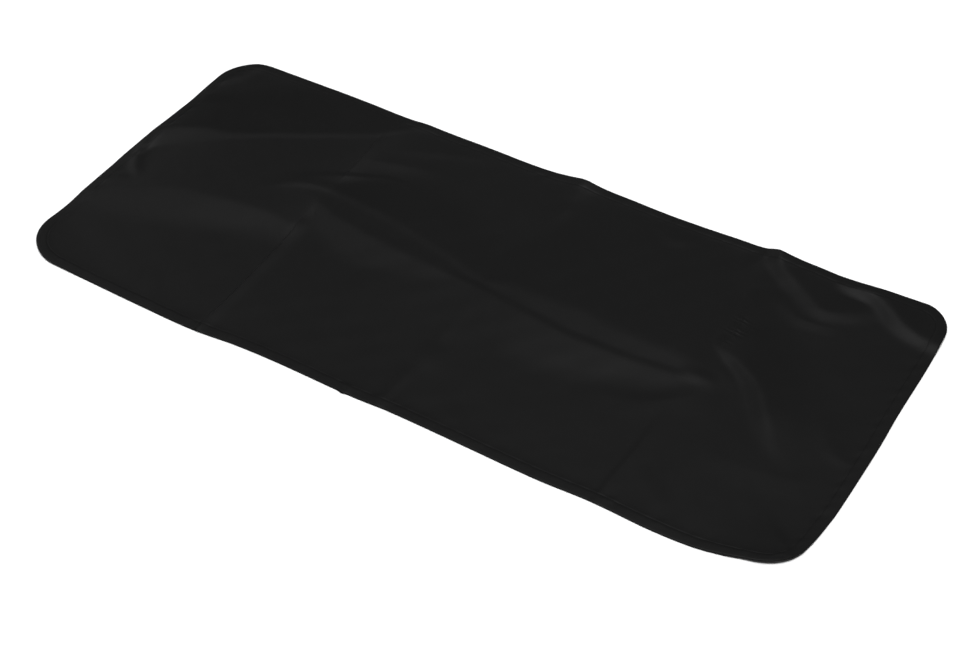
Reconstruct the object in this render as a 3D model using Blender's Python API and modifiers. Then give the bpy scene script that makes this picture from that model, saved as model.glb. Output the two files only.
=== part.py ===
"""Keyboard dust cover: one hemmed panel of thin black cloth, unfolded and laid flat.

Units are metres, +Z is up. X runs along the cover and Y across it, with the origin under the
middle of the cloth on the surface that it lies on. Tables are in millimetres, as a tailor would
note them, and are turned into metres where they are read.
"""
from collections import namedtuple

import bmesh
import bpy
import numpy as np

LENGTH = 1.000
WIDTH = 0.440
CLOTH_THICKNESS = 0.0015
HEM_THICKNESS = 0.0020
HEM_WIDTH = 0.014
HEM_EASE = 0.0025
LIES_FLAT = 0.0002

CLOTH_COLOUR = (0.012, 0.012, 0.013, 1.0)

# Rounded corners of the panel. Each one lies a little differently after packing.
Corner = namedtuple("Corner", "name side_x side_y radius")
CORNERS = [
    Corner("far left", -1, 1, 51),
    Corner("far right", 1, 1, 37),
    Corner("near left", -1, -1, 61),
    Corner("near right", 1, -1, 42),
]

# How far each edge strays outwards from a straight line, at places along it.
Sway = namedtuple("Sway", "place out")
FAR_SWAY = [Sway(-440, 2.6), Sway(-330, 1.7), Sway(-235, -4.2), Sway(-200, -1.6), Sway(-130, -0.8),
            Sway(-40, -2.4), Sway(20, 0.8), Sway(70, -0.2), Sway(155, -3.2), Sway(250, -0.6),
            Sway(300, -1.0), Sway(340, -1.0), Sway(390, -3.0), Sway(430, 0.3), Sway(470, 4.4)]
NEAR_SWAY = [Sway(-490, -1.2), Sway(-440, 0.4), Sway(-390, 2.2), Sway(-310, 4.6), Sway(-232, 5.6),
             Sway(-170, 0.8), Sway(-110, -0.4), Sway(-20, 1.0), Sway(30, -0.8), Sway(100, 0.0),
             Sway(210, 2.3), Sway(280, 0.2), Sway(345, 2.6), Sway(395, 0.9), Sway(430, -5.2),
             Sway(460, -13.0), Sway(500, -18.5)]
LEFT_SWAY = [Sway(-200, 0.4), Sway(-165, -1.4), Sway(-120, -2.9), Sway(-40, -1.9), Sway(0, -3.6),
             Sway(40, -5.6), Sway(120, -2.8), Sway(180, -1.6)]
RIGHT_SWAY = [Sway(-220, -12), Sway(-190, -9), Sway(-160, -4.2), Sway(-130, -1.2), Sway(-100, 0.6),
              Sway(-10, 1.8), Sway(50, 0.6), Sway(130, 1.0), Sway(180, -0.8), Sway(215, -3.0)]

# The long fold down the middle, cut into sections across the cloth, one table to each panel
# between the packing creases. From the far side to the near side a section leaves the surface at
# far_foot, reaches far_crest, drops a little to mid, runs on to near_crest and is down again at
# near_foot. These are places across the cloth; the rise columns are heights over the surface.
Section = namedtuple("Section", "x far_foot far_crest far_rise mid mid_rise near_crest near_rise near_foot")
FIRST_PANEL = [
    Section(-535, 90, 8, 3.0, -62, 1.0, -114, 1.4, -124),
    Section(-500, 112, 28, 6.2, -44, 1.4, -104, 1.9, -120),
    Section(-486, 124, 39, 7.4, -27, 1.8, -98, 2.4, -118),
    Section(-476, 134, 48, 8.5, 3, 2.5, -91, 2.8, -116),
    Section(-456, 151, 59, 8.8, 22, 3.6, -77, 3.9, -116),
    Section(-436, 166, 68, 8.4, 37, 5.0, -62, 5.1, -114),
    Section(-397, 194, 77, 8.2, 67, 6.8, -44, 6.4, -102),
    Section(-358, 214, 100, 8.0, 92, 6.8, -36, 6.7, -89),
    Section(-322, 230, 120, 7.8, 112, 6.6, -29, 6.5, -76),
    Section(-286, 248, 142, 7.4, 134, 6.3, -24, 5.8, -65),
    Section(-250, 262, 163, 6.6, 155, 5.6, -24, 4.0, -58),
    Section(-236, 268, 176, 6.0, 167, 5.1, -23, 3.0, -56),
    Section(-224, 274, 188, 5.0, 179, 4.3, -20, 1.2, -52),
    Section(-206, 284, 206, 3.2, 197, 2.8, -14, 0.2, -44),
    Section(-180, 300, 230, 1.4, 220, 1.2, -6, 0.0, -36),
    Section(-150, 316, 252, 0.0, 242, 0.0, 0, 0.0, -30),
]
SECOND_PANEL = [
    Section(-318, 40, 30, 0.0, 20, 0.0, 16, 0.0, -6),
    Section(-280, 62, 47, 2.4, 39, 1.9, 30, 1.8, 2),
    Section(-243, 84, 53, 4.4, 45, 3.8, 27, 4.0, 0),
    Section(-200, 102, 48, 5.0, 40, 4.3, 10, 4.6, -20),
    Section(-150, 116, 43, 5.0, 35, 4.3, 3, 4.8, -40),
    Section(-100, 112, 34, 4.4, 26, 3.8, -2, 4.4, -48),
    Section(-44, 88, 21, 3.8, 14, 3.2, -4, 3.8, -42),
    Section(4, 60, 7, 2.2, 1, 1.8, -6, 1.9, -22),
    Section(34, 40, 4, 0.0, 0, 0.0, -6, 0.0, -16),
]
THIRD_PANEL = [
    Section(-4, 60, 4, 0.0, -1, 0.0, -6, 0.0, -14),
    Section(16, 96, 6, 2.4, -2, 1.4, -7, 1.6, -24),
    Section(44, 150, 16, 4.2, -5, 2.6, -11, 3.1, -46),
    Section(74, 196, 15, 5.4, -10, 3.7, -16, 4.3, -73),
    Section(107, 212, 14, 5.8, -14, 4.0, -20, 4.8, -85),
    Section(137, 214, 16, 5.8, -18, 3.9, -24, 4.6, -82),
    Section(174, 210, 12, 5.3, -17, 3.5, -23, 4.1, -75),
    Section(213, 200, 11, 4.5, -16, 2.8, -22, 3.3, -61),
    Section(258, 176, 11, 3.4, -11, 1.9, -17, 2.3, -46),
    Section(288, 120, 5, 2.1, -8, 1.2, -13, 1.5, -33),
    Section(318, 70, -4, 0.0, -10, 0.0, -14, 0.0, -26),
]

# Single folds. Crest points run from left to right along the top of the fold. left_reach and
# right_reach are how far the cloth slopes down on either side of the crest, at its two ends.
Crest = namedtuple("Crest", "x y rise")
Fold = namedtuple("Fold", "name crest left_reach right_reach")
LARGE_FOLDS = [
    Fold("fan in the second panel",
         [Crest(-150, -10, 0), Crest(-90, -6, 1.8), Crest(-30, -7, 2.8), Crest(6, -8, 2.6),
          Crest(30, -10, 2.4), Crest(60, -14, 1.6), Crest(90, -20, 0)],
         (16, 16), (96, 110)),
    Fold("slant in the fourth panel",
         [Crest(276, 62, 0), Crest(294, 47, 2.2), Crest(323, 34, 3.5), Crest(352, 13, 4.0),
          Crest(380, -22, 3.5), Crest(401, -48, 1.8), Crest(420, -66, 0.7), Crest(438, -80, 0)],
         (64, 48), (10, 14)),
    Fold("arc by the far edge",
         [Crest(280, 232, 4.8), Crest(292, 206, 4.5), Crest(310, 190, 4.1), Crest(344, 168, 3.2),
          Crest(364, 157, 2.7), Crest(386, 163, 2.1), Crest(408, 180, 0.9)],
         (70, 60), (12, 17)),
    Fold("wave in the far right hem",
         [Crest(352, 203, 0.6), Crest(376, 205, 3.2), Crest(404, 206, 5.2), Crest(426, 197, 5.2),
          Crest(450, 180, 4.2), Crest(478, 170, 3.2), Crest(515, 166, 2.4)],
         (60, 40), (12, 15)),
]
SMALL_FOLDS = [
    Fold("first packing crease",
         [Crest(-225, -222, 0.8), Crest(-225.5, -150, 0.7), Crest(-227.5, -80, 0.7),
          Crest(-230, -30, 0.7), Crest(-232, -6, 0)],
         (6, 6), (12, 12)),
    Fold("kink at the left edge",
         [Crest(-489, 22, 0), Crest(-486, 4, 1.2), Crest(-482, -12, 1.9), Crest(-475, -27, 1.5),
          Crest(-464, -39, 1.0), Crest(-450, -50, 0)],
         (8, 7), (8, 7)),
    Fold("middle packing crease, near half",
         [Crest(14, -222, 0.7), Crest(16, -190, 0.6), Crest(18, -150, 0.3), Crest(20, -60, 0.2),
          Crest(16, -6, 0)],
         (12, 12), (9, 9)),
    Fold("middle packing crease, far half",
         [Crest(29, 96, 0), Crest(29, 140, 0.9), Crest(31, 170, 1.2), Crest(27, 230, 1.2)],
         (22, 22), (13, 13)),
    Fold("far hem lifted by the middle crease",
         [Crest(21, 240, 5.5), Crest(22, 214, 2.2), Crest(24, 180, 0)],
         (44, 20), (40, 20)),
    Fold("far hem lifted by the last crease",
         [Crest(284, 240, 2.6), Crest(284, 214, 0.9), Crest(282, 190, 0)],
         (38, 20), (28, 20)),
    Fold("last packing crease, far half",
         [Crest(276, 232, 1.2), Crest(272, 208, 1.2), Crest(266, 178, 0.9), Crest(270, 144, 0)],
         (22, 22), (13, 12)),
    Fold("last packing crease, puckered",
         [Crest(284, 152, 0), Crest(291, 132, 1.1), Crest(297, 104, 2.0), Crest(299, 80, 2.1),
          Crest(298, 62, 1.2), Crest(292, 48, 0)],
         (40, 40), (9, 8)),
    Fold("second arc by the far edge",
         [Crest(304, 160, 0), Crest(331, 141, 0.7), Crest(352, 131, 0.9), Crest(379, 134, 0.7),
          Crest(402, 146, 0)],
         (36, 36), (13, 13)),
    Fold("ripple in the far left hem",
         [Crest(-480, 112, 0), Crest(-487, 132, 1.0), Crest(-488, 152, 1.4), Crest(-482, 172, 1.7),
          Crest(-472, 190, 1.7), Crest(-466, 212, 1.2)],
         (14, 14), (11, 11)),
    Fold("near left corner",
         [Crest(-500, -196, 2.2), Crest(-474, -212, 2.2), Crest(-440, -228, 1.8)],
         (46, 46), (40, 40)),
    Fold("near right corner",
         [Crest(506, -120, 0), Crest(504, -160, 1.2), Crest(494, -190, 2.4), Crest(470, -200, 2.6),
          Crest(430, -212, 1.2), Crest(390, -220, 0)],
         (60, 60), (60, 60)),
    Fold("front of the tuck past the first crease",
         [Crest(-306, 31, 0), Crest(-276, 53, 0.5), Crest(-240, 75, 0.7), Crest(-212, 91, 0.9),
          Crest(-184, 103, 0.7), Crest(-150, 108, 0)],
         (6, 7), (26, 26)),
    Fold("pinch between the third and fourth panels",
         [Crest(268, -8, 0), Crest(290, -7, 1.0), Crest(318, -8, 0)],
         (11, 11), (10, 10)),
]

# Lines of the mesh over the cloth, closer where it is creased: places along and across the panel,
# and how many equal steps lead on from each to the next.
Spacing = namedtuple("Spacing", "start end steps")
LINES_ALONG = [Spacing(-440, -236, 12), Spacing(-236, -218, 2), Spacing(-218, 6, 13), Spacing(6, 30, 2),
               Spacing(30, 272, 13), Spacing(272, 298, 3), Spacing(298, 450, 9)]
LINES_ACROSS = [Spacing(-120, 64, 17), Spacing(64, 160, 6)]
EDGE_STEPS_ALONG = (3, 2)
EDGE_STEPS_ACROSS = (4, 3)


def soft_ramp(amount, softness):
    """Zero, then rising one to one, with the bend between the two rounded off."""
    nearness = np.clip(softness - np.abs(amount), 0, None) / softness
    return np.maximum(amount, 0) + nearness ** 2 * softness / 4


def smooth_line(rows, steps=8):
    """A smooth curve through the rows of a table, column by column."""
    points = np.array(rows, dtype=float)
    points = np.vstack([2 * points[0] - points[1], points, 2 * points[-1] - points[-2]])
    curve = []
    for i in range(1, len(points) - 2):
        before, start, end, after = points[i - 1:i + 3]
        for t in np.linspace(0, 1, steps, endpoint=False):
            curve.append(0.5 * (2 * start + (end - before) * t
                                + (2 * before - 5 * start + 4 * end - after) * t ** 2
                                + (3 * start - before - 3 * end + after) * t ** 3))
    curve.append(points[-2])
    return np.array(curve)


def panel_height(x, y, sections):
    """Height of the long fold at points of one panel."""
    line = smooth_line(sections) / 1000
    height = np.zeros_like(x)
    within = (x > line[0, 0]) & (x < line[-1, 0])
    columns = [np.interp(x[within], line[:, 0], line[:, i]) for i in range(1, 9)]
    far_foot, far_crest, far_rise, mid, mid_rise, near_crest, near_rise, near_foot = columns
    flat = np.zeros_like(far_foot)
    places = [far_foot, far_crest, mid, near_crest, near_foot]
    rises = [flat, far_rise, mid_rise, near_rise, flat]
    softness = [0.018, 0.007, 0.004, 0.005, 0.014]
    slopes = [flat]
    for i in range(4):
        slopes.append((rises[i + 1] - rises[i]) / (places[i] - places[i + 1]))
    slopes.append(flat)
    total = np.zeros_like(far_foot)
    for i in range(5):
        total += (slopes[i + 1] - slopes[i]) * soft_ramp(places[i] - y[within], softness[i])
    height[within] = np.where(total > 1e-7, total, 0)
    return height


def fold_height(x, y, fold, bluntness):
    """Height of a single fold, falling away from its crest to either side."""
    line = smooth_line(fold.crest, 6) / 1000
    gap = np.full(x.shape, 1e9)
    rise = np.zeros_like(x)
    along = np.zeros_like(x)
    side = np.zeros_like(x)
    steps = len(line) - 1
    for i in range(steps):
        start, end = line[i], line[i + 1]
        run = end[:2] - start[:2]
        length = np.hypot(run[0], run[1])
        run = run / length
        reached = np.clip((x - start[0]) * run[0] + (y - start[1]) * run[1], 0, length)
        off_x = x - start[0] - reached * run[0]
        off_y = y - start[1] - reached * run[1]
        distance = np.hypot(off_x, off_y)
        nearer = distance < gap
        gap = np.where(nearer, distance, gap)
        rise = np.where(nearer, start[2] + (end[2] - start[2]) * reached / length, rise)
        along = np.where(nearer, (i + reached / length) / steps, along)
        side = np.where(nearer, (run[0] * off_y - run[1] * off_x) / (distance + 1e-9), side)
    left = fold.left_reach[0] + (fold.left_reach[1] - fold.left_reach[0]) * along
    right = fold.right_reach[0] + (fold.right_reach[1] - fold.right_reach[0]) * along
    reach = (right + (left - right) * (0.5 + 0.5 * side)) / 1000
    away = np.sqrt(gap ** 2 + bluntness ** 2) - bluntness
    return np.maximum(rise, 0) * soft_ramp(1 - away / reach, 0.35)


def cloth_height(x, y):
    """How far the underside stands off the surface. Large folds meet, small ones lie on top."""
    total = np.zeros_like(x)
    for sections in (FIRST_PANEL, SECOND_PANEL, THIRD_PANEL):
        total += panel_height(x, y, sections) ** 5
    for fold in LARGE_FOLDS:
        total += fold_height(x, y, fold, 0.003) ** 5
    total = total ** 0.2
    for fold in SMALL_FOLDS:
        total += fold_height(x, y, fold, 0.0018)
    # cloth that would hardly leave the surface lies on it
    return np.maximum(total - LIES_FLAT, 0)


def round_corners(x, y):
    """Bends the lines of a rectangle around its corners, so that they keep parallel to the edge."""
    x, y = x.copy(), y.copy()
    for corner in CORNERS:
        radius = corner.radius / 1000
        a = (corner.side_x * x - LENGTH / 2) / radius + 1
        b = (corner.side_y * y - WIDTH / 2) / radius + 1
        here = (a > 0) & (b > 0)
        a, b = a[here], b[here]
        ring = np.maximum(a, b)
        angle = np.where(a >= b, b / a, 2 - a / b) * np.pi / 4
        x[here] = corner.side_x * (LENGTH / 2 + radius * (ring * np.cos(angle) - 1))
        y[here] = corner.side_y * (WIDTH / 2 + radius * (ring * np.sin(angle) - 1))
    return x, y


def sway(place, table):
    line = smooth_line(table) / 1000
    return np.interp(place, line[:, 0], line[:, 1])


def stray(x, y):
    """Shifts the edges off their straight lines, fading to nothing towards the middle."""
    fade_x = np.clip(np.abs(x) / (LENGTH / 2) - 0.6, 0, None) / 0.4
    fade_y = np.clip(np.abs(y) / (WIDTH / 2) - 0.4, 0, None) / 0.6
    out_x = np.where(x > 0, sway(y, RIGHT_SWAY), -sway(y, LEFT_SWAY))
    out_y = np.where(y > 0, sway(x, FAR_SWAY), -sway(x, NEAR_SWAY))
    return x + out_x * fade_x ** 2, y + out_y * fade_y ** 2


def mesh_lines(half, spacings, edge_steps):
    """Places of the mesh lines from edge to edge, in metres, with one line at each side of the hem."""
    inner = half - HEM_WIDTH - HEM_EASE
    starts = np.linspace(-inner, spacings[0].start / 1000, edge_steps[0], endpoint=False)
    ends = np.linspace(spacings[-1].end / 1000, inner, edge_steps[1] + 1)
    hem = half - HEM_WIDTH
    lines = [-half, -hem, *starts]
    for row in spacings:
        lines.extend(np.linspace(row.start, row.end, row.steps, endpoint=False) / 1000)
    return np.array([*lines, *ends, hem, half])


def make_cloth_material():
    material = bpy.data.materials.new("cover_fabric")
    material.use_nodes = True
    shader = material.node_tree.nodes["Principled BSDF"]
    shader.inputs["Base Color"].default_value = CLOTH_COLOUR
    shader.inputs["Roughness"].default_value = 0.7
    shader.inputs["Metallic"].default_value = 0.0
    material.diffuse_color = CLOTH_COLOUR
    return material


def make_cloth():
    """The panel as a sheet with its underside on the surface, given its thickness by Solidify."""
    along = mesh_lines(LENGTH / 2, LINES_ALONG, EDGE_STEPS_ALONG)
    across = mesh_lines(WIDTH / 2, LINES_ACROSS, EDGE_STEPS_ACROSS)
    sheet = bmesh.new()
    bmesh.ops.create_grid(sheet, x_segments=len(along) - 1, y_segments=len(across) - 1, size=0.5)
    column = [round((v.co.x + 0.5) * (len(along) - 1)) for v in sheet.verts]
    row = [round((v.co.y + 0.5) * (len(across) - 1)) for v in sheet.verts]
    panel_x, panel_y = along[column], across[row]
    x, y = stray(*round_corners(panel_x, panel_y))
    z = cloth_height(x, y)
    x -= (x.min() + x.max()) / 2
    y -= (y.min() + y.max()) / 2
    for vertex, point in zip(sheet.verts, zip(x, y, z)):
        vertex.co = point
    mesh = bpy.data.meshes.new("cover_cloth")
    sheet.to_mesh(mesh)
    sheet.free()
    mesh.shade_smooth()
    cloth = bpy.data.objects.new("cover_cloth", mesh)

    inset = np.minimum(LENGTH / 2 - np.abs(panel_x), WIDTH / 2 - np.abs(panel_y))
    hem = cloth.vertex_groups.new(name="hem")
    hem.add([int(i) for i in np.flatnonzero(inset < HEM_WIDTH + 0.0001)], 1.0, "REPLACE")
    solidify = cloth.modifiers.new("thickness", "SOLIDIFY")
    solidify.thickness = HEM_THICKNESS
    solidify.offset = 1.0
    solidify.vertex_group = hem.name
    solidify.thickness_vertex_group = CLOTH_THICKNESS / HEM_THICKNESS
    cloth.data.materials.append(make_cloth_material())
    return cloth


def main():
    for leftover in list(bpy.data.objects):
        bpy.data.objects.remove(leftover, do_unlink=True)
    collection = bpy.data.collections.new("keyboard dust cover")
    bpy.context.scene.collection.children.link(collection)
    collection.objects.link(make_cloth())


main()
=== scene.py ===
from collections import namedtuple
from math import radians

import bmesh
import bpy
import numpy as np
from mathutils import Matrix, Vector


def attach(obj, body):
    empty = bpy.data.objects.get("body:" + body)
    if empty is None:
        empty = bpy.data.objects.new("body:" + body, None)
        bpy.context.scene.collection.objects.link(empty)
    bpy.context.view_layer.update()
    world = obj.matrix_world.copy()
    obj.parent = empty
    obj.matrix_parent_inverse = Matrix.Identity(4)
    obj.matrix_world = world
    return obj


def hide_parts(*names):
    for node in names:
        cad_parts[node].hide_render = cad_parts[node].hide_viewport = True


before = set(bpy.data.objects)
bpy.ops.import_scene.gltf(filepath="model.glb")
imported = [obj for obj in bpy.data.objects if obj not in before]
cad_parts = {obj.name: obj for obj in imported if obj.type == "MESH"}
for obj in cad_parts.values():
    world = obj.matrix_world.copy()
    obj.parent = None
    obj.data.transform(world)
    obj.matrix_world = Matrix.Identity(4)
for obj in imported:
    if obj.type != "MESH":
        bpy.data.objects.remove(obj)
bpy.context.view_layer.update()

# Keyboard dust cover: one panel of thin black polyester cloth with a sewn hem, shaken out of its
# packet and laid flat. Sizes are in metres; the tables are in millimetres, read from the cloth as
# it lies, with X along it and Y across it.
LENGTH = 1.000
WIDTH = 0.440
THREAD = 0.00026
STITCH_PITCH = 0.0031
STITCH_LENGTH = 0.0025
STITCH_INSET = 0.0126
WEAVE_PITCH = 0.0009
PLY_TURN = 0.0006

# The hem's end is laid over its start on the near edge.
LAP_PLACE = -0.028
LAP_HALF_WIDTH = 0.0075
LAP_OUT = 0.0013
LAP_RISE = 0.00035
LAP_INSET = 0.0142

# The stitching draws the hem up, in waves of two lengths that never fall into step.
GATHER_RISE = 0.00012
GATHER_PITCH = 0.0192
SECOND_GATHER_PITCH = 0.0313
GATHER_REACH = 0.005

# The puckered stretch of the last packing crease.
PUCKER_LINE_Y = [0.044, 0.076, 0.104, 0.146]
PUCKER_LINE_X = [0.295, 0.297, 0.295, 0.286]
PUCKER_START = 0.048
PUCKER_END = 0.128
PUCKER_HALF_WIDTH = 0.008
PUCKER_PITCH = 0.0080
PUCKER_RISE = 0.00050

# How sharply two large folds meet, and how blunt the crests are.
MEETING = 5
LARGE_BLUNTNESS = 0.003
SMALL_BLUNTNESS = 0.0011

CLOTH_COLOURS = ("#0e0e0e", "#0b0b0b")
# the thread is black; setting it at the cloth's darker tone paints the shade in the groove along the
# stitch line
THREAD_AND_SHADE_COLOUR = "#0b0b0b"
BOARD_COLOUR = "#f4f4f4"
# A wave texture of this scale repeats once a metre.
WAVE_SCALE = 0.314

BOARD_SIZE = 12
BOARD_DROP = 0.0003

# Where the photographer stood, and which way the camera points.
CAMERA_PLACE = (0.85508, -1.28979, 1.41527)
CAMERA_LOOK = (-0.39150, 0.60564, -0.69276)
CAMERA_RIGHT = (0.85153, 0.52380, -0.02330)
FOCAL_LENGTH = 67.16

Lamp = namedtuple("Lamp", "name towards energy spread")
SOFTBOXES = [
    Lamp("overhead_softbox", (-0.13, 0.20, 0.97), 3.4, 32),
    Lamp("left_softbox", (-0.76, 0.36, 0.54), 0.48, 24),
]
BACK_LAMP_PLACE = (-0.2, 1.5, 0.9)
BACK_LAMP_FACING = (-0.2, 1.3, 0.9)
BACK_LAMP_ENERGY = 4.2
BACK_LAMP_SIZE = 2.0
ROOM_LIGHT = 0.08

# Puts the middle of the cloth's box over the origin, as the swaying edges leave it a little off.
CENTRING = (-1.8, 1.0)

Corner = namedtuple("Corner", "name side_x side_y radius")
CORNERS = [
    Corner("far left", -1, 1, 51),
    Corner("far right", 1, 1, 37),
    Corner("near left", -1, -1, 61),
    Corner("near right", 1, -1, 42),
]

# How far each edge strays outwards from a straight line.
Sway = namedtuple("Sway", "place out")
FAR_SWAY = [Sway(-440, 2.6), Sway(-330, 1.7), Sway(-235, -4.2), Sway(-200, -1.6), Sway(-130, -0.8),
            Sway(-40, -2.4), Sway(20, 0.8), Sway(70, -0.2), Sway(155, -3.2), Sway(250, -0.6),
            Sway(300, -1.0), Sway(340, -1.0), Sway(390, -3.0), Sway(430, 0.3), Sway(470, 4.4)]
NEAR_SWAY = [Sway(-490, -1.2), Sway(-440, 0.4), Sway(-390, 2.2), Sway(-310, 4.6), Sway(-232, 5.6),
             Sway(-170, 0.8), Sway(-110, -0.4), Sway(-20, 1.0), Sway(30, -0.8), Sway(100, 0.0),
             Sway(210, 2.3), Sway(280, 0.2), Sway(345, 2.6), Sway(395, 0.9), Sway(430, -5.2),
             Sway(460, -13.0), Sway(500, -18.5)]
LEFT_SWAY = [Sway(-200, 0.4), Sway(-165, -1.4), Sway(-120, -2.9), Sway(-40, -1.9), Sway(0, -3.6),
             Sway(40, -5.6), Sway(120, -2.8), Sway(180, -1.6)]
RIGHT_SWAY = [Sway(-220, -12), Sway(-190, -9), Sway(-160, -4.2), Sway(-130, -1.2), Sway(-100, 0.6),
              Sway(-10, 1.8), Sway(50, 0.6), Sway(130, 1.0), Sway(180, -0.8), Sway(215, -3.0)]

# The long fold down the middle, one table to each panel between the packing creases. A section
# leaves the surface at far_foot, reaches far_crest, drops to mid, runs on to near_crest and is
# down again at near_foot.
Section = namedtuple("Section", "x far_foot far_crest far_rise mid mid_rise "
                                "near_crest near_rise near_foot")
FIRST_PANEL = [
    Section(-535, 90, 8, 3.0, -62, 1.0, -114, 1.4, -124),
    Section(-500, 112, 28, 6.2, -44, 1.4, -104, 1.9, -120),
    Section(-486, 124, 39, 7.4, -27, 1.8, -98, 2.4, -118),
    Section(-476, 134, 48, 8.5, 3, 2.5, -91, 2.8, -116),
    Section(-456, 151, 59, 8.8, 22, 3.6, -77, 3.9, -116),
    Section(-436, 166, 68, 8.4, 37, 5.0, -62, 5.1, -114),
    Section(-397, 194, 77, 8.2, 67, 6.8, -44, 6.4, -102),
    Section(-358, 214, 100, 8.0, 92, 6.8, -36, 6.7, -89),
    Section(-322, 230, 120, 7.8, 112, 6.6, -29, 6.5, -76),
    Section(-286, 248, 142, 7.4, 134, 6.3, -24, 5.8, -65),
    Section(-250, 262, 163, 6.6, 155, 5.6, -24, 4.0, -58),
    Section(-236, 268, 176, 6.0, 167, 5.1, -23, 3.0, -56),
    Section(-224, 274, 188, 5.0, 179, 4.3, -20, 1.2, -52),
    Section(-206, 284, 206, 3.2, 197, 2.8, -14, 0.2, -44),
    Section(-180, 300, 230, 1.4, 220, 1.2, -6, 0.0, -36),
    Section(-150, 316, 252, 0.0, 242, 0.0, 0, 0.0, -30),
]
SECOND_PANEL = [
    Section(-318, 40, 30, 0.0, 20, 0.0, 16, 0.0, -6),
    Section(-280, 62, 47, 2.4, 39, 1.9, 30, 1.8, 2),
    Section(-243, 84, 53, 4.4, 45, 3.8, 27, 4.0, 0),
    Section(-200, 102, 48, 5.0, 40, 4.3, 10, 4.6, -20),
    Section(-150, 116, 43, 5.0, 35, 4.3, 3, 4.8, -40),
    Section(-100, 112, 34, 4.4, 26, 3.8, -2, 4.4, -48),
    Section(-44, 88, 21, 3.8, 14, 3.2, -4, 3.8, -42),
    Section(4, 60, 7, 2.2, 1, 1.8, -6, 1.9, -22),
    Section(34, 40, 4, 0.0, 0, 0.0, -6, 0.0, -16),
]
THIRD_PANEL = [
    Section(-4, 60, 4, 0.0, -1, 0.0, -6, 0.0, -14),
    Section(16, 96, 6, 2.4, -2, 1.4, -7, 1.6, -24),
    Section(44, 150, 16, 4.2, -5, 2.6, -11, 3.1, -46),
    Section(74, 196, 15, 5.4, -10, 3.7, -16, 4.3, -73),
    Section(107, 212, 14, 5.8, -14, 4.0, -20, 4.8, -85),
    Section(137, 214, 16, 5.8, -18, 3.9, -24, 4.6, -82),
    Section(174, 210, 12, 5.3, -17, 3.5, -23, 4.1, -75),
    Section(213, 200, 11, 4.5, -16, 2.8, -22, 3.3, -61),
    Section(258, 176, 11, 3.4, -11, 1.9, -17, 2.3, -46),
    Section(288, 120, 5, 2.1, -8, 1.2, -13, 1.5, -33),
    Section(318, 70, -4, 0.0, -10, 0.0, -14, 0.0, -26),
]

# Single folds. Crest points run from left to right along the top; the reaches are how far the
# cloth slopes down on the left and on the right of the crest, at its two ends.
Crest = namedtuple("Crest", "x y rise")
Fold = namedtuple("Fold", "name crest left_reach right_reach")
LARGE_FOLDS = [
    Fold("fan in the second panel",
         [Crest(-150, -10, 0), Crest(-90, -6, 1.8), Crest(-30, -7, 2.8), Crest(6, -8, 2.6),
          Crest(30, -10, 2.4), Crest(60, -14, 1.6), Crest(90, -20, 0)],
         (16, 16), (96, 110)),
    Fold("slant in the fourth panel",
         [Crest(276, 62, 0), Crest(294, 47, 2.2), Crest(323, 34, 3.5), Crest(352, 13, 4.0),
          Crest(380, -22, 3.5), Crest(401, -48, 1.8), Crest(420, -66, 0.7), Crest(438, -80, 0)],
         (64, 48), (10, 14)),
    Fold("arc by the far edge",
         [Crest(280, 232, 4.8), Crest(292, 206, 4.5), Crest(310, 190, 4.1), Crest(344, 168, 3.2),
          Crest(364, 157, 2.7), Crest(386, 163, 2.1), Crest(408, 180, 0.9)],
         (70, 60), (12, 17)),
    Fold("wave in the far right hem",
         [Crest(352, 203, 0.6), Crest(376, 205, 3.2), Crest(404, 206, 5.2), Crest(426, 197, 5.2),
          Crest(450, 180, 4.2), Crest(478, 170, 3.2), Crest(515, 166, 2.4)],
         (60, 40), (12, 15)),
]
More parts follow.
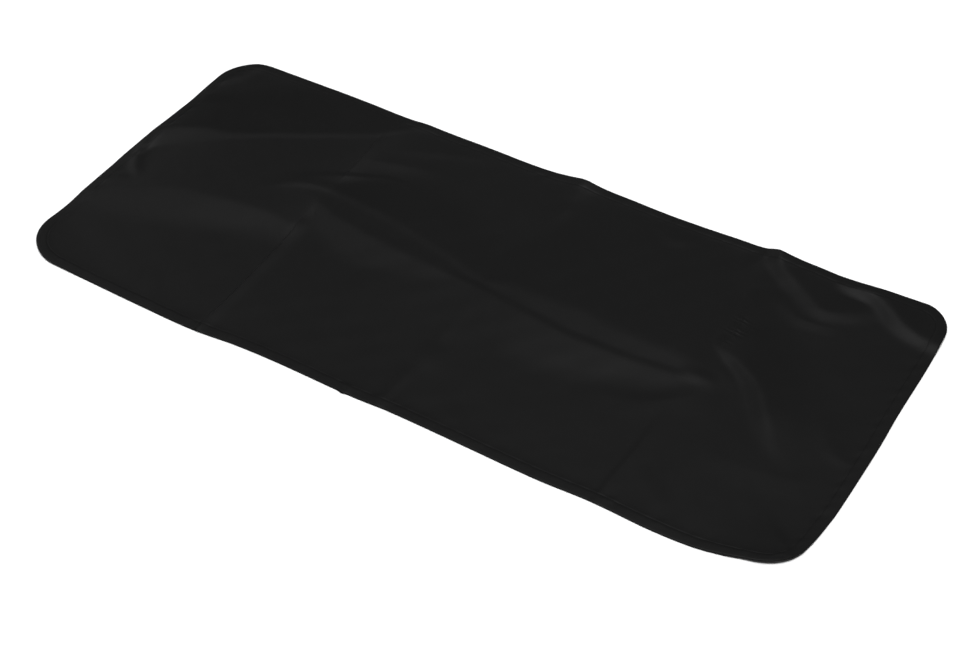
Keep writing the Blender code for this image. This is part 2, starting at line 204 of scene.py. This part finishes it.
SMALL_FOLDS = [
    Fold("kink at the left edge",
         [Crest(-489, 22, 0), Crest(-486, 4, 1.2), Crest(-482, -12, 1.9), Crest(-475, -27, 1.5),
          Crest(-464, -39, 1.0), Crest(-450, -50, 0)],
         (8, 7), (8, 7)),
    Fold("branch of the kink",
         [Crest(-464, -48, 0), Crest(-474, -60, 1.0), Crest(-481, -70, 0.9), Crest(-487, -80, 0)],
         (7, 7), (7, 7)),
    Fold("first packing crease, near half",
         [Crest(-225, -222, 1.3), Crest(-225.5, -150, 1.2), Crest(-227.5, -80, 1.2),
          Crest(-230, -30, 1.0), Crest(-232, -6, 0)],
         (1.2, 1.2), (12, 12)),
    Fold("middle packing crease, near half",
         [Crest(14, -222, 0.7), Crest(16, -190, 0.6), Crest(18, -150, 0.3), Crest(20, -60, 0.2),
          Crest(16, -6, 0)],
         (12, 12), (9, 9)),
    Fold("middle packing crease, far half",
         [Crest(29, 96, 0), Crest(29, 140, 0.9), Crest(31, 170, 1.2), Crest(27, 230, 1.2)],
         (22, 22), (13, 13)),
    Fold("far hem lifted by the middle crease",
         [Crest(21, 240, 5.5), Crest(22, 214, 2.2), Crest(24, 180, 0)],
         (44, 20), (40, 20)),
    Fold("far hem lifted by the last crease",
         [Crest(284, 240, 2.6), Crest(284, 214, 0.9), Crest(282, 190, 0)],
         (38, 20), (28, 20)),
    Fold("last packing crease, far half",
         [Crest(276, 232, 1.2), Crest(272, 208, 1.2), Crest(266, 178, 0.9), Crest(270, 144, 0)],
         (22, 22), (13, 12)),
    Fold("last packing crease, puckered",
         [Crest(284, 152, 0), Crest(291, 132, 1.1), Crest(297, 104, 2.0), Crest(299, 80, 2.1),
          Crest(298, 62, 1.2), Crest(292, 48, 0)],
         (40, 40), (9, 8)),
    Fold("second arc by the far edge",
         [Crest(304, 160, 0), Crest(331, 141, 0.7), Crest(352, 131, 0.9), Crest(379, 134, 0.7),
          Crest(402, 146, 0)],
         (36, 36), (13, 13)),
    Fold("ripple in the far left hem",
         [Crest(-480, 112, 0), Crest(-487, 132, 1.0), Crest(-488, 152, 1.4), Crest(-482, 172, 1.7),
          Crest(-472, 190, 1.7), Crest(-466, 212, 1.2)],
         (14, 14), (11, 11)),
    Fold("near left corner",
         [Crest(-500, -196, 2.2), Crest(-474, -212, 2.2), Crest(-440, -228, 1.8)],
         (46, 46), (40, 40)),
    Fold("near right corner",
         [Crest(506, -120, 0), Crest(504, -160, 1.2), Crest(494, -190, 2.4), Crest(470, -200, 2.6),
          Crest(430, -212, 1.2), Crest(390, -220, 0)],
         (60, 60), (60, 60)),
    Fold("first packing crease, far half",
         [Crest(-233, 66, 0), Crest(-233.5, 100, 0.7), Crest(-235.5, 140, 0.7),
          Crest(-236, 178, 0)],
         (1.2, 1.2), (12, 12)),
    Fold("bump on the middle packing crease",
         [Crest(22, -104, 0), Crest(28, -130, 0.8), Crest(24, -150, 0)],
         (20, 20), (20, 20)),
    Fold("last packing crease, near half",
         [Crest(282, -222, 0.4), Crest(283, -180, 0.5), Crest(286, -120, 0.5), Crest(284, -60, 0)],
         (5, 5), (18, 18)),
    Fold("pinch between the third and fourth panels",
         [Crest(268, -8, 0), Crest(290, -7, 1.0), Crest(318, -8, 0)],
         (11, 11), (10, 10)),
    Fold("toe of the third panel's fold",
         [Crest(200, -88, 0), Crest(243, -76, 0.4), Crest(273, -60, 0.55), Crest(296, -40, 0.5),
          Crest(318, -26, 0)],
         (14, 14), (26, 26)),
    Fold("faint fold past the first crease",
         [Crest(-226, 150, 0), Crest(-190, 164, 0.6), Crest(-150, 182, 0.7), Crest(-110, 196, 0.5),
          Crest(-70, 206, 0)],
         (44, 44), (12, 12)),
    Fold("fainter fold under it",
         [Crest(-236, 118, 0), Crest(-205, 128, 0.8), Crest(-168, 140, 0.7), Crest(-128, 146, 0)],
         (30, 30), (14, 14)),
    Fold("small dip by the far edge",
         [Crest(140, 202, 0), Crest(158, 186, 0.7), Crest(171, 178, 0.9), Crest(184, 186, 0.7),
          Crest(202, 204, 0)],
         (34, 34), (13, 13)),
    Fold("streak by the near edge",
         [Crest(80, -176, 0), Crest(104, -196, 0.5), Crest(128, -216, 0.2)],
         (12, 12), (14, 14)),
    Fold("second streak by the near edge",
         [Crest(300, -150, 0), Crest(330, -180, 0.7), Crest(344, -206, 0.3)],
         (16, 16), (13, 13)),
    Fold("streak by the right edge",
         [Crest(430, 14, 0), Crest(452, -22, 0.5), Crest(470, -40, 0.6), Crest(492, -40, 0)],
         (20, 20), (12, 12)),
    Fold("streaks under the first panel's fold",
         [Crest(-330, -170, 0), Crest(-312, -196, 0.5), Crest(-306, -214, 0.2)],
         (12, 12), (12, 12)),
    Fold("low rise before the last corner",
         [Crest(330, -92, 0), Crest(380, -100, 0.45), Crest(440, -92, 0.45), Crest(480, -76, 0)],
         (40, 40), (26, 26)),
    Fold("front of the tuck past the first crease",
         [Crest(-306, 31, 0), Crest(-276, 53, 0.5), Crest(-240, 75, 0.7), Crest(-212, 91, 0.9),
          Crest(-184, 103, 0.7), Crest(-150, 108, 0)],
         (6, 7), (26, 26)),
    Fold("start of the second panel's crest",
         [Crest(-306, 4, 0), Crest(-296, 22, 0.5), Crest(-270, 41, 0.7), Crest(-242, 48, 0.5),
          Crest(-212, 47, 0)],
         (12, 12), (7, 7)),
    Fold("short line beside the slant",
         [Crest(303, 18, 0), Crest(318, 10, 0.35), Crest(330, -4, 0.25), Crest(336, -14, 0)],
         (9, 9), (7, 7)),
    Fold("near crest of the second panel",
         [Crest(-236, 28, 0), Crest(-200, 13, 0.15), Crest(-150, 6, 0.2), Crest(-100, 1, 0.15),
          Crest(-44, -1, 0)],
         (9, 9), (24, 24)),
]

# The hem and the cloth beside it, from the edge inwards: heights of the underside and of the top.
Hem = namedtuple("Hem", "inset under top")
HEM_PROFILE = [
    Hem(0.0, 0.30, 0.52), Hem(0.35, 0.10, 0.72), Hem(1.0, 0.0, 0.80), Hem(3.5, 0.0, 0.84),
    Hem(6.2, 0.0, 0.84), Hem(8.8, 0.0, 0.83), Hem(11.4, 0.0, 0.78), Hem(12.2, 0.04, 0.65),
    Hem(12.6, 0.06, 0.59), Hem(13.0, 0.04, 0.63), Hem(13.7, 0.0, 0.70), Hem(14.6, 0.02, 0.65),
    Hem(16.4, 0.04, 0.54), Hem(20.0, 0.02, 0.47), Hem(26.0, 0.0, 0.45),
]

# Lines of the mesh between the hems, closer where the cloth is creased.
Spacing = namedtuple("Spacing", "start end steps")
LINES_ALONG = [Spacing(-474, -240, 41), Spacing(-240, -223, 26), Spacing(-223, -211, 6),
               Spacing(-211, -44, 30), Spacing(-44, -20, 12), Spacing(-20, 4, 5),
               Spacing(4, 40, 15), Spacing(40, 268, 40), Spacing(268, 304, 20),
               Spacing(304, 474, 34)]
LINES_ACROSS = [Spacing(-194, -120, 16), Spacing(-120, 44, 54), Spacing(44, 140, 76),
                Spacing(140, 194, 14)]


def soft_ramp(amount, softness):
    """Zero, then rising one to one, with the bend between the two rounded off."""
    nearness = np.clip(softness - np.abs(amount), 0, None) / softness
    return np.maximum(amount, 0) + nearness ** 2 * softness / 4


def smooth_line(rows, steps=8):
    """A smooth curve through the rows of a table, column by column."""
    points = np.array(rows, dtype=float)
    points = np.vstack([2 * points[0] - points[1], points, 2 * points[-1] - points[-2]])
    curve = []
    for i in range(1, len(points) - 2):
        before, start, end, after = points[i - 1:i + 3]
        for t in np.linspace(0, 1, steps, endpoint=False):
            curve.append(0.5 * (2 * start + (end - before) * t
                                + (2 * before - 5 * start + 4 * end - after) * t ** 2
                                + (3 * start - before - 3 * end + after) * t ** 3))
    curve.append(points[-2])
    return np.array(curve)


def panel_height(x, y, sections):
    """Height of the long fold in one panel, straight between its five lines with rounded bends."""
    line = smooth_line(sections) / 1000
    height = np.zeros_like(x)
    within = (x > line[0, 0]) & (x < line[-1, 0])
    columns = [np.interp(x[within], line[:, 0], line[:, i]) for i in range(1, 9)]
    far_foot, far_crest, far_rise, mid, mid_rise, near_crest, near_rise, near_foot = columns
    flat = np.zeros_like(far_foot)
    places = [far_foot, far_crest, mid, near_crest, near_foot]
    rises = [flat, far_rise, mid_rise, near_rise, flat]
    softness = [0.018, 0.007, 0.004, 0.005, 0.014]
    slopes = [flat]
    for i in range(4):
        slopes.append((rises[i + 1] - rises[i]) / (places[i] - places[i + 1]))
    slopes.append(flat)
    total = np.zeros_like(far_foot)
    for i in range(5):
        total += (slopes[i + 1] - slopes[i]) * soft_ramp(places[i] - y[within], softness[i])
    height[within] = np.where(total > 1e-7, total, 0)
    return height


def fold_height(x, y, fold, bluntness):
    """Height of a single fold, falling away from its crest to either side."""
    height = np.zeros_like(x)
    line = smooth_line(fold.crest, 6) / 1000
    room = max(fold.left_reach + fold.right_reach) / 700
    close = ((x > line[:, 0].min() - room) & (x < line[:, 0].max() + room)
             & (y > line[:, 1].min() - room) & (y < line[:, 1].max() + room))
    x, y = x[close], y[close]
    gap = np.full(x.shape, 1e9)
    rise = np.zeros_like(x)
    along = np.zeros_like(x)
    side = np.zeros_like(x)
    steps = len(line) - 1
    for i in range(steps):
        start, end = line[i], line[i + 1]
        run = end[:2] - start[:2]
        length = np.hypot(run[0], run[1])
        run = run / length
        reached = np.clip((x - start[0]) * run[0] + (y - start[1]) * run[1], 0, length)
        off_x = x - start[0] - reached * run[0]
        off_y = y - start[1] - reached * run[1]
        distance = np.hypot(off_x, off_y)
        nearer = distance < gap
        gap = np.where(nearer, distance, gap)
        rise = np.where(nearer, start[2] + (end[2] - start[2]) * reached / length, rise)
        along = np.where(nearer, (i + reached / length) / steps, along)
        side = np.where(nearer, (run[0] * off_y - run[1] * off_x) / (distance + 1e-9), side)
    left = fold.left_reach[0] + (fold.left_reach[1] - fold.left_reach[0]) * along
    right = fold.right_reach[0] + (fold.right_reach[1] - fold.right_reach[0]) * along
    reach = (right + (left - right) * (0.5 + 0.5 * side)) / 1000
    away = np.sqrt(gap ** 2 + bluntness ** 2) - bluntness
    height[close] = np.maximum(rise, 0) * soft_ramp(1 - away / reach, 0.35)
    return height


def puckers(x, y):
    """Small gathers across the puckered stretch of the last packing crease, steep on one side."""
    line_x = np.interp(y, PUCKER_LINE_Y, PUCKER_LINE_X)
    across = np.exp(-((x - line_x) / PUCKER_HALF_WIDTH) ** 2)
    along = np.clip((y - PUCKER_START) / 0.012, 0, 1) * np.clip((PUCKER_END - y) / 0.056, 0, 1)
    uneven = 0.55 + 0.45 * np.sin(y * 2 * np.pi / 0.0235 + 1.0)
    turns = (y + 0.35 * x + 0.0021 * np.sin(y * 2 * np.pi / 0.0187)) / PUCKER_PITCH
    wave = np.sin(turns * 2 * np.pi) - 0.25 * np.sin(turns * 4 * np.pi)
    return PUCKER_RISE * across * along * uneven * wave


# Lifts the cloth a little, as the ripples swing both ways.
RIPPLE_BASE = 0.0002
# Low ripples all over the limp cloth: how far apart, which way they run, how high, and where
# they start.
Ripple = namedtuple("Ripple", "pitch turn height start")
RIPPLES = [Ripple(61, 12, 0.08, 0.4), Ripple(47, 71, 0.05, 2.1), Ripple(39, -38, 0.045, 4.0),
           Ripple(33, 134, 0.03, 1.2), Ripple(28, 25, 0.03, 5.3), Ripple(84, -50, 0.05, 3.1)]


def ripples(x, y):
    """How far the low ripples lift or lower the cloth."""
    total = np.zeros_like(x)
    for row in RIPPLES:
        turn = radians(row.turn)
        run = (x * np.cos(turn) + y * np.sin(turn)) * 1000
        aside = (x * np.sin(turn) - y * np.cos(turn)) * 1000
        # each train bends and swells on its way, so that none reads as a pattern
        bend = 14 * np.sin(aside / (2.7 * row.pitch) + row.start)
        swell = 0.6 + 0.4 * np.sin(run / (3.3 * row.pitch) + 2 * row.start)
        wave = np.sin(2 * np.pi * (run + bend) / row.pitch + row.start)
        total += row.height / 1000 * swell * wave
    return total


def cloth_height(x, y):
    """How far the cloth stands off the surface. Large folds meet, small ones lie on top."""
    total = np.zeros_like(x)
    for sections in (FIRST_PANEL, SECOND_PANEL, THIRD_PANEL):
        total += panel_height(x, y, sections) ** MEETING
    for fold in LARGE_FOLDS:
        total += fold_height(x, y, fold, LARGE_BLUNTNESS) ** MEETING
    total = total ** (1 / MEETING)
    for fold in SMALL_FOLDS:
        total += fold_height(x, y, fold, SMALL_BLUNTNESS)
    return np.maximum(total + puckers(x, y) + ripples(x, y) + RIPPLE_BASE, 0)


def round_corners(x, y):
    """Bends the lines of a rectangle around its corners, so that they keep parallel to the edge."""
    x, y = x.copy(), y.copy()
    for corner in CORNERS:
        radius = corner.radius / 1000
        a = (corner.side_x * x - LENGTH / 2) / radius + 1
        b = (corner.side_y * y - WIDTH / 2) / radius + 1
        here = (a > 0) & (b > 0)
        a, b = a[here], b[here]
        ring = np.maximum(a, b)
        angle = np.where(a >= b, b / a, 2 - a / b) * np.pi / 4
        x[here] = corner.side_x * (LENGTH / 2 + radius * (ring * np.cos(angle) - 1))
        y[here] = corner.side_y * (WIDTH / 2 + radius * (ring * np.sin(angle) - 1))
    return x, y


def sway(place, table):
    """How far an edge strays at places along it."""
    line = smooth_line(table) / 1000
    return np.interp(place, line[:, 0], line[:, 1])


def stray(x, y):
    """Shifts the edges off their straight lines, fading to nothing towards the middle."""
    fade_x = np.clip(np.abs(x) / (LENGTH / 2) - 0.6, 0, None) / 0.4
    fade_y = np.clip(np.abs(y) / (WIDTH / 2) - 0.4, 0, None) / 0.6
    out_x = np.where(x > 0, sway(y, RIGHT_SWAY), -sway(y, LEFT_SWAY))
    out_y = np.where(y > 0, sway(x, FAR_SWAY), -sway(x, NEAR_SWAY))
    out_y -= np.where(y < 0, LAP_OUT * np.exp(-((x - LAP_PLACE) / 0.004) ** 2), 0)
    return x + out_x * fade_x ** 2, y + out_y * fade_y ** 2


def lie(panel_x, panel_y):
    """Where a place on the cut panel comes to lie, and how high its underside is."""
    x, y = stray(*round_corners(panel_x, panel_y))
    height = cloth_height(x, y)
    return x + CENTRING[0] / 1000, y + CENTRING[1] / 1000, height


def inset_of(panel_x, panel_y):
    """How far inside the nearest edge a place on the cut panel lies."""
    return np.minimum(LENGTH / 2 - np.abs(panel_x), WIDTH / 2 - np.abs(panel_y))


def hem_gathers(panel_x, panel_y, inset):
    """The stitching draws the hem up a little, unevenly, every two centimetres or so."""
    run = panel_x - panel_y
    first = np.sin(run * 2 * np.pi / GATHER_PITCH)
    second = 0.6 * np.sin(run * 2 * np.pi / SECOND_GATHER_PITCH + 1.3)
    wave = first + second
    return GATHER_RISE * wave * np.exp(-np.abs(inset - STITCH_INSET) / GATHER_REACH)


def hem_surfaces(panel_x, panel_y):
    """Heights of the underside and the top at places on the cut panel, above where it lies."""
    inset = inset_of(panel_x, panel_y)
    profile = np.array(HEM_PROFILE) / 1000
    under = np.interp(inset, profile[:, 0], profile[:, 1])
    top = np.interp(inset, profile[:, 0], profile[:, 2]) + hem_gathers(panel_x, panel_y, inset)
    # the lap is 15 mm long, with sloping ends
    lap = np.clip(1 - np.abs(panel_x - LAP_PLACE) / LAP_HALF_WIDTH, 0, 0.35) / 0.35
    lap = lap * (panel_y < 0) * np.clip((LAP_INSET - inset) / 0.001, 0, 1)
    lap = lap * np.clip(inset / 0.0006, 0, 1)
    return under, top + LAP_RISE * lap


def mesh_lines(half, spacings):
    """Places of the mesh's lines across one side of the panel: both hems and what lies between."""
    hem = [row.inset / 1000 for row in HEM_PROFILE[:-1]]
    lines = [inset - half for inset in hem]
    for row in spacings:
        lines.extend(np.linspace(row.start, row.end, row.steps, endpoint=False) / 1000)
    lines.append(spacings[-1].end / 1000)
    lines.extend(half - inset for inset in reversed(hem))
    return np.array(lines)


def linear(hex_colour):
    """An sRGB hex colour as the linear values that a shader takes."""
    parts = [int(hex_colour[i:i + 2], 16) / 255 for i in (1, 3, 5)]
    return [c / 12.92 if c <= 0.04045 else ((c + 0.055) / 1.055) ** 2.4 for c in parts] + [1.0]


def add_node(tree, kind, settings=None, links=None):
    """Adds a node. A link gives an input's name the (node, output) that feeds it."""
    node = tree.nodes.new(kind)
    for name, value in (settings or {}).items():
        if name in node.inputs:
            node.inputs[name].default_value = value
        else:
            setattr(node, name, value)
    for name, (source, output) in (links or {}).items():
        tree.links.new(source.outputs[output], node.inputs[name])
    return node


def woven_polyester(name):
    """Plain-woven black polyester, dyed in the piece and calendered on one side.

    The eye sees a near-black cloth, matt from above, that pales where it tilts towards the light.
    """
    material = bpy.data.materials.new(name)
    material.use_nodes = True
    tree = material.node_tree
    shader = tree.nodes["Principled BSDF"]
    place = add_node(tree, "ShaderNodeTexCoord")
    # 0.35 mm threads, drawn at 0.9 mm because the real ones are too fine to show
    warp = add_node(tree, "ShaderNodeTexWave",
                    {"wave_type": "BANDS", "bands_direction": "X", "Scale": WAVE_SCALE / WEAVE_PITCH,
                     "Distortion": 0.4, "Detail": 1.0}, {"Vector": (place, "Object")})
    weft = add_node(tree, "ShaderNodeTexWave",
                    {"wave_type": "BANDS", "bands_direction": "Y", "Scale": WAVE_SCALE / WEAVE_PITCH,
                     "Distortion": 0.4, "Detail": 1.0}, {"Vector": (place, "Object")})
    weave = add_node(tree, "ShaderNodeMath", {"operation": "MULTIPLY"})
    tree.links.new(warp.outputs["Fac"], weave.inputs[0])
    tree.links.new(weft.outputs["Fac"], weave.inputs[1])
    # dye takes a little unevenly over a hand's width
    cloud = add_node(tree, "ShaderNodeTexNoise", {"Scale": 14.0, "Detail": 3.0, "Roughness": 0.55},
                     {"Vector": (place, "Object")})
    light, dark = [linear(colour) for colour in CLOTH_COLOURS]
    tone = add_node(tree, "ShaderNodeMixRGB", {"Color1": dark, "Color2": light},
                    {"Fac": (cloud, "Fac")})
    tree.links.new(tone.outputs["Color"], shader.inputs["Base Color"])
    # limp cloth is never quite flat: more ripples of a few centimetres, too low for the mesh
    ripple = add_node(tree, "ShaderNodeTexNoise", {"Scale": 26.0, "Detail": 2.0, "Roughness": 0.5},
                      {"Vector": (place, "Object")})
    soft = add_node(tree, "ShaderNodeBump", {"Strength": 0.25, "Distance": 0.0008},
                    {"Height": (ripple, "Fac")})
    threads = add_node(tree, "ShaderNodeBump", {"Strength": 0.15, "Distance": 0.0001},
                       {"Height": (weave, "Value"), "Normal": (soft, "Normal")})
    tree.links.new(threads.outputs["Normal"], shader.inputs["Normal"])
    shader.inputs["Roughness"].default_value = 0.42
    shader.inputs["IOR"].default_value = 1.5
    shader.inputs["Specular IOR Level"].default_value = 0.044
    return material


def spun_thread_painted_shade():
    """Spun polyester sewing thread, black like the cloth, set darker and matter than the cloth so
    that it paints the shade along the stitch line.
    """
    material = bpy.data.materials.new("spun_thread_painted_shade")
    material.use_nodes = True
    tree = material.node_tree
    shader = tree.nodes["Principled BSDF"]
    place = add_node(tree, "ShaderNodeTexCoord")
    # two plies twisted at about 0.6 mm a turn
    plies = add_node(tree, "ShaderNodeTexWave",
                     {"wave_type": "BANDS", "bands_direction": "DIAGONAL",
                      "Scale": WAVE_SCALE / PLY_TURN},
                     {"Vector": (place, "Object")})
    twist = add_node(tree, "ShaderNodeBump", {"Strength": 0.4, "Distance": 0.0001},
                     {"Height": (plies, "Fac")})
    tree.links.new(twist.outputs["Normal"], shader.inputs["Normal"])
    # painted shade: the thread is darker than the cloth, so the stitch line shows the shade of its
    # groove
    shader.inputs["Base Color"].default_value = linear(THREAD_AND_SHADE_COLOUR)
    shader.inputs["Roughness"].default_value = 0.9
    shader.inputs["IOR"].default_value = 1.5
    shader.inputs["Specular IOR Level"].default_value = 0.03
    return material


def make_cloth():
    """The panel with its hem: a grid bent to the outline, and its top raised off its underside."""
    columns = mesh_lines(LENGTH / 2, LINES_ALONG)
    rows = mesh_lines(WIDTH / 2, LINES_ACROSS)
    sheet = bmesh.new()
    bmesh.ops.create_grid(sheet, x_segments=len(columns) - 1, y_segments=len(rows) - 1, size=0.5)
    panel_x = np.tile(columns, len(rows))
    panel_y = np.repeat(rows, len(columns))
    x, y, rise = lie(panel_x, panel_y)
    under, top = hem_surfaces(panel_x, panel_y)
    place = sheet.verts.layers.int.new("place")
    for i, vertex in enumerate(sheet.verts):
        vertex[place] = i
        vertex.co = x[i], y[i], rise[i] + under[i]
    raised = bmesh.ops.extrude_face_region(sheet, geom=list(sheet.faces), use_keep_orig=True)
    for vertex in raised["geom"]:
        if isinstance(vertex, bmesh.types.BMVert):
            i = vertex[place]
            vertex.co = x[i], y[i], rise[i] + top[i]
    inset = inset_of(panel_x, panel_y)
    for face in sheet.faces:
        face.material_index = int(max(inset[v[place]] for v in face.verts) < STITCH_INSET + 0.0001)
    sheet.verts.layers.int.remove(place)
    mesh = bpy.data.meshes.new("cover_panel")
    sheet.to_mesh(mesh)
    sheet.free()
    mesh.shade_smooth()
    cloth = bpy.data.objects.new("cover_panel", mesh)
    bpy.context.scene.collection.objects.link(cloth)
    return cloth


def stitch_line(side):
    """The line of needle holes round the hem, on the cloth as it lies, at steps of under 1 mm."""
    far_x, far_y = LENGTH / 2 - STITCH_INSET, WIDTH / 2 - STITCH_INSET
    corners = [(-far_x, -far_y), (far_x, -far_y), (far_x, far_y), (-far_x, far_y), (-far_x, -far_y)]
    panel_x, panel_y = [], []
    for (x0, y0), (x1, y1) in zip(corners, corners[1:]):
        steps = int(np.hypot(x1 - x0, y1 - y0) / 0.0008)
        panel_x.extend(np.linspace(x0, x1, steps, endpoint=False))
        panel_y.extend(np.linspace(y0, y1, steps, endpoint=False))
    panel_x, panel_y = np.array(panel_x), np.array(panel_y)
    x, y, rise = lie(panel_x, panel_y)
    under, top = hem_surfaces(panel_x, panel_y)
    surface = top + 0.2 * THREAD if side > 0 else under - 0.2 * THREAD
    return np.stack([x, y, rise + surface], axis=1)


def make_stitches(name, side):
    """One lockstitch after another, each a short length of thread that dips into its holes."""
    line = stitch_line(side)
    line = np.vstack([line, line[:1]])
    length = np.concatenate([[0], np.cumsum(np.linalg.norm(np.diff(line, axis=0), axis=1))])
    count = int(length[-1] / STITCH_PITCH)
    middle = (np.arange(count) + 0.5) * length[-1] / count
    start, end = [
        np.stack([np.interp(middle + off, length, line[:, axis]) for axis in range(3)], axis=1)
        for off in (-STITCH_LENGTH / 2, STITCH_LENGTH / 2)]
    run = (end - start) / np.linalg.norm(end - start, axis=1)[:, None]
    across = np.cross((0, 0, 1), run)
    # a thread lies a few degrees askew between its two holes
    run = run + across * 0.05
    lift = np.cross(run, across)

    one = bmesh.new()
    bmesh.ops.create_uvsphere(one, u_segments=10, v_segments=6, radius=1)
    shape = np.array([v.co[:] for v in one.verts])
    faces = [[v.index for v in face.verts] for face in one.faces]
    one.free()
    points = ((start + end)[:, None] / 2 + shape[None, :, 2:3] * run[:, None] * STITCH_LENGTH / 2
              + shape[None, :, 0:1] * across[:, None] * THREAD / 2
              + shape[None, :, 1:2] * lift[:, None] * THREAD / 2)
    corners = [[v + i * len(shape) for v in face] for i in range(count) for face in faces]
    mesh = bpy.data.meshes.new(name)
    mesh.from_pydata(points.reshape(-1, 3), [], corners)
    mesh.shade_smooth()
    stitches = bpy.data.objects.new(name, mesh)
    bpy.context.scene.collection.objects.link(stitches)
    return stitches


def make_floor():
    """A sheet of white background board under the cloth."""
    bpy.ops.mesh.primitive_plane_add(size=BOARD_SIZE, location=(0, 0, -BOARD_DROP))
    floor = bpy.context.object
    floor.name = "white_board"
    material = bpy.data.materials.new("white_board")
    material.use_nodes = True
    shader = material.node_tree.nodes["Principled BSDF"]
    shader.inputs["Base Color"].default_value = linear(BOARD_COLOUR)
    shader.inputs["Roughness"].default_value = 0.9
    shader.inputs["Specular IOR Level"].default_value = 0.1
    floor.data.materials.append(material)


def hang_light(name, towards, energy, spread):
    """A wide soft light that shines on the table from a given direction."""
    lamp = bpy.data.lights.new(name, "SUN")
    lamp.energy = energy
    lamp.angle = radians(spread)
    hung = bpy.data.objects.new(name, lamp)
    hung.location = Vector(towards) * 2
    hung.rotation_euler = Vector(towards).to_track_quat("Z", "Y").to_euler()
    bpy.context.scene.collection.objects.link(hung)


def light_the_table():
    """A softbox overhead, one low at the left, a large one beyond the cloth, and a dim room."""
    for row in SOFTBOXES:
        hang_light(row.name, row.towards, row.energy, row.spread)
    back = bpy.data.lights.new("back_softbox", "AREA")
    back.energy = BACK_LAMP_ENERGY
    back.size = BACK_LAMP_SIZE
    hung = bpy.data.objects.new("back_softbox", back)
    hung.location = BACK_LAMP_PLACE
    hung.rotation_euler = Vector(BACK_LAMP_FACING).to_track_quat("Z", "Y").to_euler()
    bpy.context.scene.collection.objects.link(hung)
    world = bpy.data.worlds.new("studio")
    world.use_nodes = True
    background = world.node_tree.nodes["Background"]
    background.inputs["Color"].default_value = (1.0, 1.0, 1.0, 1.0)
    background.inputs["Strength"].default_value = ROOM_LIGHT
    bpy.context.scene.world = world
    bpy.context.scene.view_settings.view_transform = "Standard"


def place_camera():
    """Stands where the photographer stood: near the right end, looking down at 44 degrees."""
    lens = bpy.data.cameras.new("camera")
    lens.sensor_width = 36.0
    lens.lens = FOCAL_LENGTH
    lens.clip_start = 0.01
    camera = bpy.data.objects.new("camera", lens)
    look = Vector(CAMERA_LOOK).normalized()
    right = Vector(CAMERA_RIGHT).normalized()
    up = right.cross(look).normalized()
    turned = Matrix((right, up, -look)).transposed().to_4x4()
    camera.matrix_world = Matrix.Translation(CAMERA_PLACE) @ turned
    bpy.context.scene.collection.objects.link(camera)
    bpy.context.scene.camera = camera


place_camera()
light_the_table()
make_floor()

panel = make_cloth()
# the hem is the same cloth, in a slot of its own
for name in ("woven_polyester", "woven_polyester_hem"):
    panel.data.materials.append(woven_polyester(name))
seam = make_stitches("hem_stitching", 1)
under_seam = make_stitches("hem_stitching_underside", -1)
thread = spun_thread_painted_shade()
for piece in (seam, under_seam):
    piece.data.materials.append(thread)
    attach(piece, "root")

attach(panel, "root")
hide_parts("cover_cloth")
